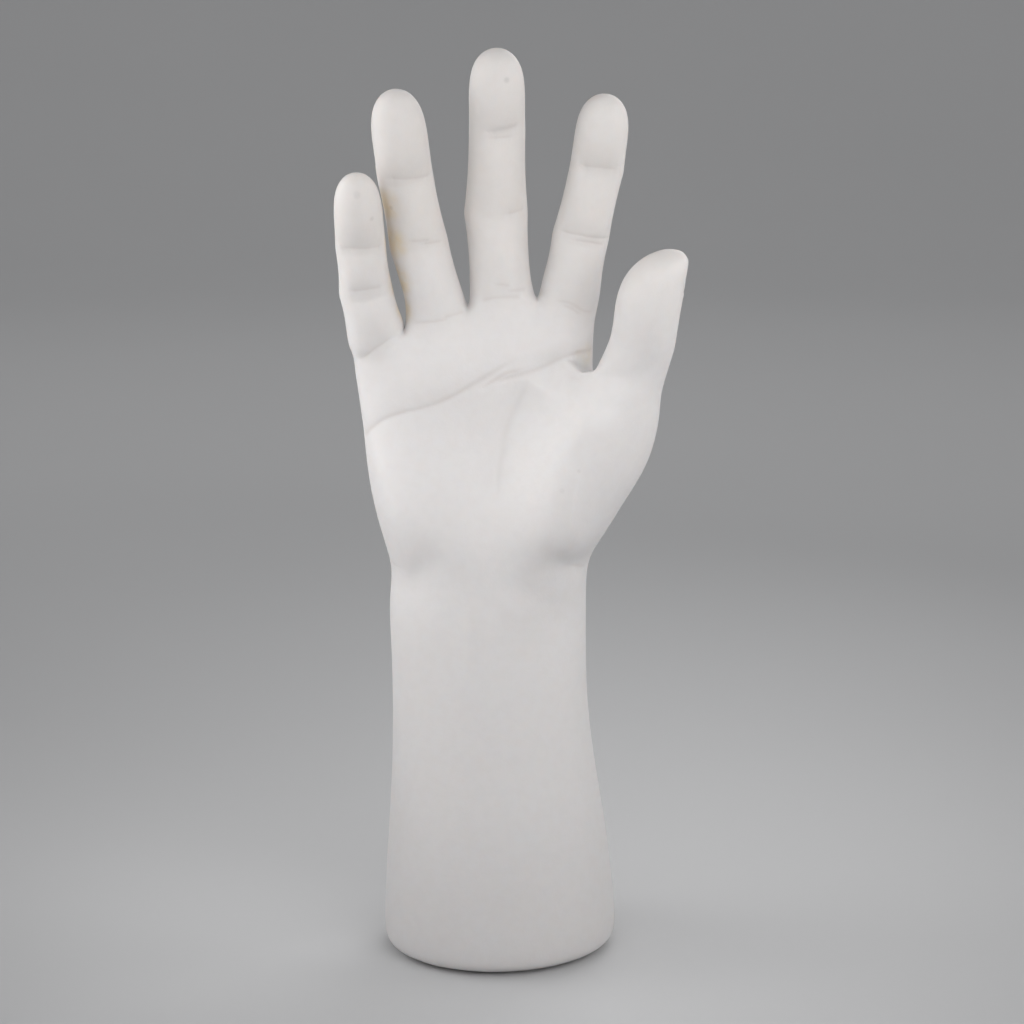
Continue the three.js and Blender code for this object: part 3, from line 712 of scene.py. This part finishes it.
class Nodes:
    """Short names for making a material's nodes and links."""

    def __init__(self, name):
        self.material = bpy.data.materials.new(name)
        self.material.use_nodes = True
        self.tree = self.material.node_tree
        self.shader = self.tree.nodes["Principled BSDF"]
        self.coordinates = self.new("TexCoord").outputs["Object"]

    def new(self, kind, **settings):
        node = self.tree.nodes.new("ShaderNode" + kind)
        for name, value in settings.items():
            setattr(node, name, value)
        return node

    def link(self, source, target):
        self.tree.links.new(source, target)

    def noise(self, scale, detail=3.0, roughness=0.5):
        node = self.new("TexNoise")
        self.link(self.coordinates, node.inputs["Vector"])
        node.inputs["Scale"].default_value = scale
        node.inputs["Detail"].default_value = detail
        node.inputs["Roughness"].default_value = roughness
        return node.outputs["Fac"]

    def span(self, value, low, high, to_low=0.0, to_high=1.0):
        """A value between low and high, smoothly turned into one between to_low and to_high."""
        node = self.new("MapRange", interpolation_type="SMOOTHSTEP")
        self.link(value, node.inputs["Value"])
        for name, number in zip(("From Min", "From Max", "To Min", "To Max"), (low, high, to_low, to_high)):
            node.inputs[name].default_value = number
        return node.outputs["Result"]

    def maths(self, operation, a, b):
        node = self.new("Math", operation=operation)
        for socket, value in zip(node.inputs, (a, b)):
            if isinstance(value, (int, float)):
                socket.default_value = value
            else:
                self.link(value, socket)
        return node.outputs["Value"]

    def mixed(self, factor, a, b):
        """Colour a, turning into colour b as the factor goes from 0 to 1."""
        node = self.new("Mix", data_type="RGBA")
        self.link(factor, node.inputs["Factor"])
        for name, value in (("A", a), ("B", b)):
            socket = [s for s in node.inputs if s.name == name and s.type == "RGBA"][0]
            if isinstance(value, tuple):
                socket.default_value = (*value, 1)
            else:
                self.link(value, socket)
        return [s for s in node.outputs if s.type == "RGBA"][0]

    def near(self, place, radius):
        """1 at a place in millimetres of the hand's frame, falling to 0 at a radius."""
        node = self.new("VectorMath", operation="DISTANCE")
        self.link(self.coordinates, node.inputs[0])
        node.inputs[1].default_value = tuple((np.array(place) + FOOT) * MM)
        return self.span(node.outputs["Value"], radius * MM, 0.25 * radius * MM)

    def bump(self, height, distance, strength=1.0, under=None):
        """A normal from a height, laid over the normal under it."""
        node = self.new("Bump")
        node.inputs["Strength"].default_value = strength
        node.inputs["Distance"].default_value = distance
        self.link(height, node.inputs["Height"])
        if under:
            self.link(under, node.inputs["Normal"])
        return node.outputs["Normal"]


def vinyl():
    """Matt off-white soft vinyl: slightly mottled, warmer and a little darker toward the fingertips, with
    painted shade in the creases and round the nails, a few specks, and yellowed along the ring finger's edge
    and in the thumb's web."""
    n = Nodes("matt_vinyl")
    height = n.new("SeparateXYZ")
    n.link(n.coordinates, height.inputs["Vector"])
    # Warmer and a little darker toward the fingertips, patchy at random
    toward_tips = n.span(height.outputs["Z"], TIPS_FROM, TIPS_TO, 0.0, 0.42)
    toward_tips = n.maths("ADD", toward_tips, n.maths("MULTIPLY", n.span(n.noise(28, 4, 0.55), 0.35, 0.75), 0.14))
    colour = n.mixed(toward_tips, VINYL, VINYL_TIPS)
    fine = n.span(n.noise(260, 3), 0.35, 0.7)
    colour = n.mixed(n.maths("MULTIPLY", fine, 0.08), colour, VINYL_SHADE)
    # Painted shade in the creases and nail grooves, from the sculpted skin
    hollow = n.new("Attribute", attribute_name="hollow").outputs["Fac"]
    colour = n.mixed(n.maths("MULTIPLY", hollow, 0.35), colour, VINYL_SHADE)
    for place, radius, strength in STAINS:
        patch = n.maths("MULTIPLY", n.near(place, radius), n.span(n.noise(190, 4), 0.3, 0.62, 0.3, 1))
        colour = n.mixed(n.maths("MULTIPLY", patch, strength), colour, STAIN)
    for place, radius, strength in SPECKS:
        colour = n.mixed(n.maths("MULTIPLY", n.near(place, radius), strength), colour, SPECK)
    n.link(colour, n.shader.inputs["Base Color"])
    n.link(n.span(n.noise(90, 4), 0.3, 0.7, 0.5, 0.6), n.shader.inputs["Roughness"])
    n.shader.inputs["Specular IOR Level"].default_value = 0.4
    n.shader.inputs["Subsurface Weight"].default_value = 0.3
    n.shader.inputs["Subsurface Radius"].default_value = (1.0, 0.75, 0.6)
    n.shader.inputs["Subsurface Scale"].default_value = 0.003
    soft = n.bump(n.noise(160, 3), 0.0004, 0.35)
    n.link(n.bump(n.noise(1500, 2), 0.00008, 0.35, under=soft), n.shader.inputs["Normal"])
    return n.material


def bung_plastic():
    """The bung's plastic, a little greyer, with faint rings from turning."""
    n = Nodes("bung_plastic")
    middle = n.new("Mapping")
    middle.inputs["Location"].default_value = tuple(-FOOT * MM)
    n.link(n.coordinates, middle.inputs["Vector"])
    rings = n.new("TexWave", wave_type="RINGS", rings_direction="Z")
    n.link(middle.outputs["Vector"], rings.inputs["Vector"])
    rings.inputs["Scale"].default_value = 420
    rings.inputs["Distortion"].default_value = 0.6
    mottle = n.span(n.noise(120, 4), 0.35, 0.75)
    colour = n.mixed(n.maths("MULTIPLY", mottle, 0.5), BUNG, BUNG_SHADE)
    n.link(colour, n.shader.inputs["Base Color"])
    n.link(n.span(n.noise(300, 3), 0.3, 0.7, 0.45, 0.58), n.shader.inputs["Roughness"])
    n.link(n.bump(rings.outputs["Fac"], 0.00005, 0.5), n.shader.inputs["Normal"])
    return n.material


def loose_sand():
    """Dry sand: grains of many shades."""
    n = Nodes("loose_sand")
    grains = n.new("TexVoronoi")
    n.link(n.coordinates, grains.inputs["Vector"])
    grains.inputs["Scale"].default_value = 1400
    shade = n.new("SeparateColor")
    n.link(grains.outputs["Color"], shade.inputs["Color"])
    colour = n.mixed(shade.outputs["Red"], SAND_BROWN, SAND_PALE)
    dark = n.span(shade.outputs["Green"], 0.9, 0.95)
    n.link(n.mixed(dark, colour, SAND_DARK), n.shader.inputs["Base Color"])
    n.shader.inputs["Roughness"].default_value = 0.9
    heap = n.bump(n.noise(220, 3), 0.0008, 0.6)
    n.link(n.bump(grains.outputs["Distance"], 0.0004, 0.8, under=heap), n.shader.inputs["Normal"])
    return n.material


skin = build_skin()
skin.data.materials.append(vinyl())
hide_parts("hand_shell")
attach(skin, "hand")

plug = build_bung()
plug.data.materials.append(bung_plastic())
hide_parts("base_bung")
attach(plug, "bung")

nodes["sand_ballast"].material_slots[0].material = loose_sand()


# Floor, light and camera

# In metres: how far the floor is flat, the radius of its sweep and the height of its top
FLOOR_FLAT = 1.7
FLOOR_SWEEP = 1.2
FLOOR_TOP = 3.0
FLOOR_BELOW = 0.0001  # how far it lies below the foot
FLOOR_SIDES = 96
FLOOR_BENDS = 12


def in_metres(x, y, z):
    """A place given in millimetres of the hand's frame, in metres of the model's."""
    return Vector((np.array([x, y, z]) + FOOT) * MM)


def build_floor():
    """A pale floor that rises all round in a smooth sweep."""
    profile = [(0.0, 0.0), (0.3, 0.0), (0.8, 0.0)]
    for k in range(FLOOR_BENDS + 1):
        turn = math.radians(90 * k / FLOOR_BENDS)
        profile.append((FLOOR_FLAT + FLOOR_SWEEP * math.sin(turn), FLOOR_SWEEP * (1 - math.cos(turn))))
    profile.append((FLOOR_FLAT + FLOOR_SWEEP, FLOOR_TOP))
    bm = bmesh.new()
    rings = []
    for radius, height in profile:
        ring = []
        for k in range(FLOOR_SIDES if radius else 1):
            turn = math.tau * k / FLOOR_SIDES
            ring.append(bm.verts.new((radius * math.cos(turn), radius * math.sin(turn), height)))
        rings.append(ring)
    for lower, upper in zip(rings, rings[1:]):
        for k in range(FLOOR_SIDES):
            after = (k + 1) % FLOOR_SIDES
            if len(lower) == 1:
                bm.faces.new((lower[0], upper[k], upper[after]))
            else:
                bm.faces.new((lower[k], upper[k], upper[after], lower[after]))
    for face in bm.faces:
        face.smooth = True
    mesh = bpy.data.meshes.new("floor")
    bm.to_mesh(mesh)
    bm.free()
    n = Nodes("pale_floor")
    n.link(n.mixed(n.noise(3, 2), FLOOR_SHADE, FLOOR_PALE), n.shader.inputs["Base Color"])
    n.shader.inputs["Roughness"].default_value = 0.8
    mesh.materials.append(n.material)
    floor = bpy.data.objects.new("floor", mesh)
    floor.location.z = -FLOOR_BELOW
    bpy.context.scene.collection.objects.link(floor)


# Name, place in millimetres, size in metres and power in watts. They all face the middle of the palm.
SOFTBOX_TARGET = (0, 0, 228)
SOFTBOX_SPREAD = 112
SOFTBOXES = [
    ("left_softbox", (-420, 60, 400), 0.3, 0.228),
    ("left_near_softbox", (-280, -40, 240), 0.25, 0.188),
    ("left_front_softbox", (-180, -280, 340), 0.4, 0.193),
    ("right_front_softbox", (180, -280, 340), 0.4, 0.322),
    ("front_softbox", (110, -380, 340), 0.4, 0.148),
    ("right_near_softbox", (190, -220, 210), 0.25, 0.0297),
    ("right_softbox", (420, 60, 300), 0.3, 0.223),
    ("back_softbox", (250, 520, 560), 0.5, 0.594),
]

# Name, place and target in millimetres and power in watts. They light the floor's sweep.
WASH_SIZE = 1.5
WASHES = [
    ("backdrop_wash", (0, 700, 1600), (0, 2600, 300), 15),
    ("front_wash", (0, -1100, 1600), (0, -2600, 300), 3.5),
]
WORLD_COLOUR = (0.95, 0.97, 1.0, 1)
WORLD_STRENGTH = 0.15


def area_light(name, place, target, size, power, spread):
    """A soft square light, with its place and target in millimetres of the hand's frame."""
    data = bpy.data.lights.new(name, "AREA")
    data.shape = "SQUARE"
    data.size = size
    data.energy = power
    data.spread = math.radians(spread)
    light = bpy.data.objects.new(name, data)
    light.location = in_metres(*place)
    light.rotation_euler = (in_metres(*target) - light.location).to_track_quat("-Z", "Y").to_euler()
    light.visible_camera = False
    bpy.context.scene.collection.objects.link(light)


build_floor()
for name, place, size, power in SOFTBOXES:
    area_light(name, place, SOFTBOX_TARGET, size, power, SOFTBOX_SPREAD)
for name, place, target, power in WASHES:
    area_light(name, place, target, WASH_SIZE, power, spread=180)

world = bpy.data.worlds.new("studio")
world.use_nodes = True
world.node_tree.nodes["Background"].inputs["Color"].default_value = WORLD_COLOUR
world.node_tree.nodes["Background"].inputs["Strength"].default_value = WORLD_STRENGTH
bpy.context.scene.world = world
bpy.context.scene.view_settings.view_transform = "Standard"

# The photograph was taken from a little above and straight in front of the palm
CAMERA_DISTANCE = 930.0
CAMERA_HEIGHT = 380.0
CAMERA_SIDE = 4.4
CAMERA_PITCH = 13.075
CAMERA_LENS = 93.4
CAMERA_SENSOR = 36
camera_data = bpy.data.cameras.new("camera")
camera_data.sensor_width = CAMERA_SENSOR
camera_data.lens = CAMERA_LENS
camera = bpy.data.objects.new("camera", camera_data)
camera.location = in_metres(CAMERA_SIDE, -CAMERA_DISTANCE, CAMERA_HEIGHT)
camera.rotation_euler = (math.radians(90 - CAMERA_PITCH), 0, 0)
bpy.context.scene.collection.objects.link(camera)
bpy.context.scene.camera = camera

bpy.context.view_layer.update()
